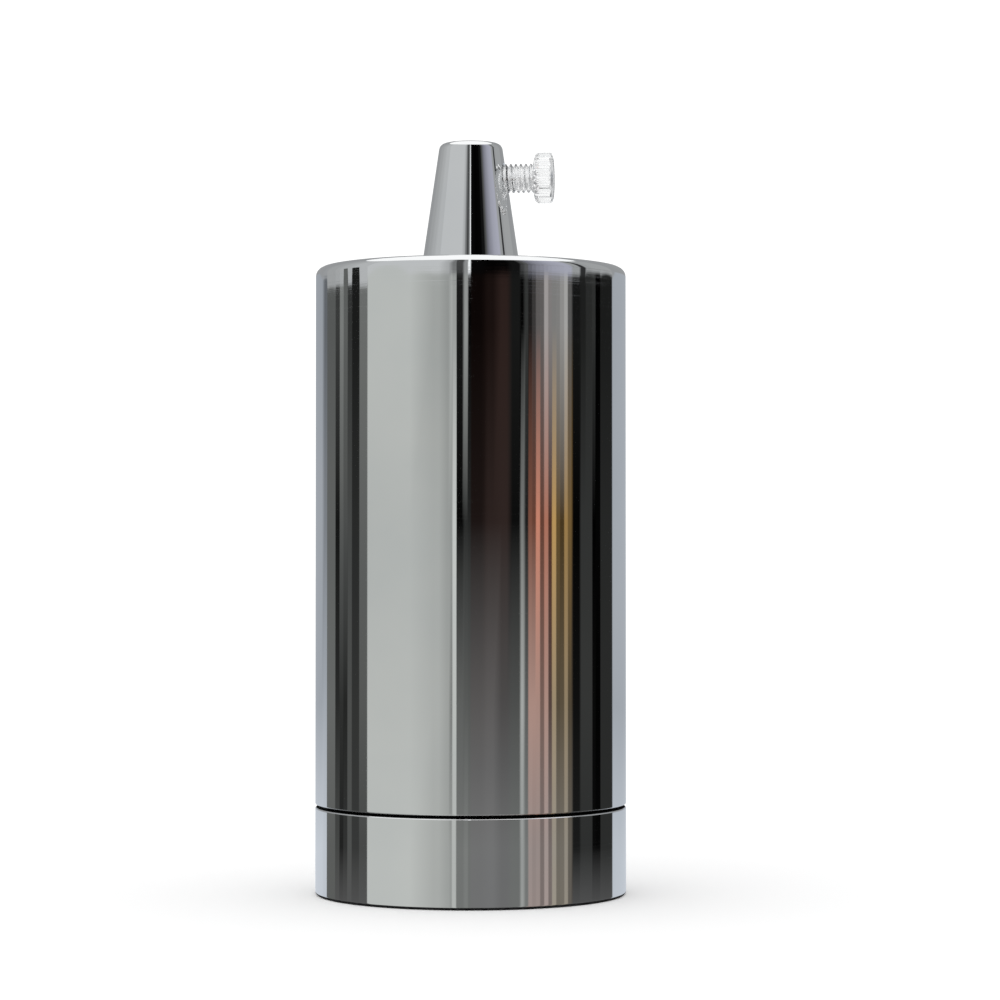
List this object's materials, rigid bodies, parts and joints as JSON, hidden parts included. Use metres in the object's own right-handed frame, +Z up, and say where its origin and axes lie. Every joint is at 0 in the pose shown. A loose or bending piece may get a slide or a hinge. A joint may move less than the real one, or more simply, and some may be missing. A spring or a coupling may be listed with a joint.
{
  "type": "pendant lampholder",
  "caption": "Chrome cylinder lampholder with a screw-on ring that holds an E27 socket, and a conical cord grip clamped by a clear thumb screw.",
  "frame": {"origin": "centre of the retaining ring's bottom edge, on the lampholder's axis", "axes": "+Z up along the axis from the lamp opening to the cord; the thumb screw points 7 degrees off +X, towards -Y"},
  "size_m": [0.0432, 0.0432, 0.104],
  "materials": {
    "bright_chrome": "polished",
    "clear_plastic": "clear",
    "plated_steel": "zinc plated",
    "brass": "satin",
    "plated_shell": "nickel plated",
    "porcelain": "glazed"
  },
  "bodies": {
    "cup": {"cup_shell": "bright_chrome"},
    "socket": {"porcelain_body": "porcelain", "screw_shell": "plated_shell", "neutral_shell_screw": "plated_steel", "shell_fixing_screws": "plated_steel", "shell_fixing_nuts": "plated_steel", "contact_bracket": "brass", "contact_rivet": "brass", "live_terminal": "brass", "neutral_terminal": "brass"},
    "ring": {"retaining_ring": "bright_chrome"},
    "grip": {"cord_grip": "bright_chrome"},
    "clamp_screw": {"thumb_screw": "clear_plastic"},
    "nipple_stack": {"threaded_nipple": "plated_steel", "lock_nut": "plated_steel", "tooth_washer": "plated_steel", "earth_plate": "plated_steel", "earth_wire_washer": "brass"},
    "earth_clamp": {"earth_screw": "brass"},
    "contact": {"centre_contact": "brass"},
    "live_clamp": {"live_terminal_screw": "plated_steel"},
    "neutral_clamp": {"neutral_terminal_screw": "plated_steel"}
  },
  "joints": [
    {"name": "cup_lift", "type": "slide", "parent": "socket", "child": "cup", "axis": [0, 0, 1], "range_m": [0, 0.008]},
    {"name": "ring_turn", "type": "hinge", "parent": "socket", "child": "ring", "pos_m": [0, 0, 0.006], "axis": [0, 0, -1], "range_deg": [0, 2880]},
    {"name": "grip_turn", "type": "hinge", "parent": "cup", "child": "grip", "pos_m": [0, 0, 0.0866], "axis": [0, 0, 1], "range_deg": [0, 1980]},
    {"name": "nipple_drop", "type": "slide", "parent": "cup", "child": "nipple_stack", "axis": [0, 0, -1], "range_m": [0, 0.0055]},
    {"name": "clamp_screw_travel", "type": "slide", "parent": "grip", "child": "clamp_screw", "axis": [0.9925, -0.1219, 0], "range_m": [-0.0034, 0.0014]},
    {"name": "contact_press", "type": "hinge", "parent": "socket", "child": "contact", "pos_m": [-0.0023, 0, 0.02755], "axis": [0, -1, 0], "range_deg": [0, 20], "stiffness_Nm_per_rad": 0.05},
    {"name": "live_screw_travel", "type": "slide", "parent": "socket", "child": "live_clamp", "axis": [0, 0, 1], "range_m": [0, 0.003]},
    {"name": "neutral_screw_travel", "type": "slide", "parent": "socket", "child": "neutral_clamp", "axis": [0, 0, 1], "range_m": [0, 0.003]},
    {"name": "earth_screw_travel", "type": "slide", "parent": "nipple_stack", "child": "earth_clamp", "axis": [1, 0, 0], "range_m": [0, 0.002]}
  ],
  "couplings": [
    {"joint": "ring_turn", "follows": "cup_lift", "rad_per_m": 6283.2},
    {"joint": "nipple_drop", "follows": "grip_turn", "m_per_rad": 0.00015915}
  ]
}
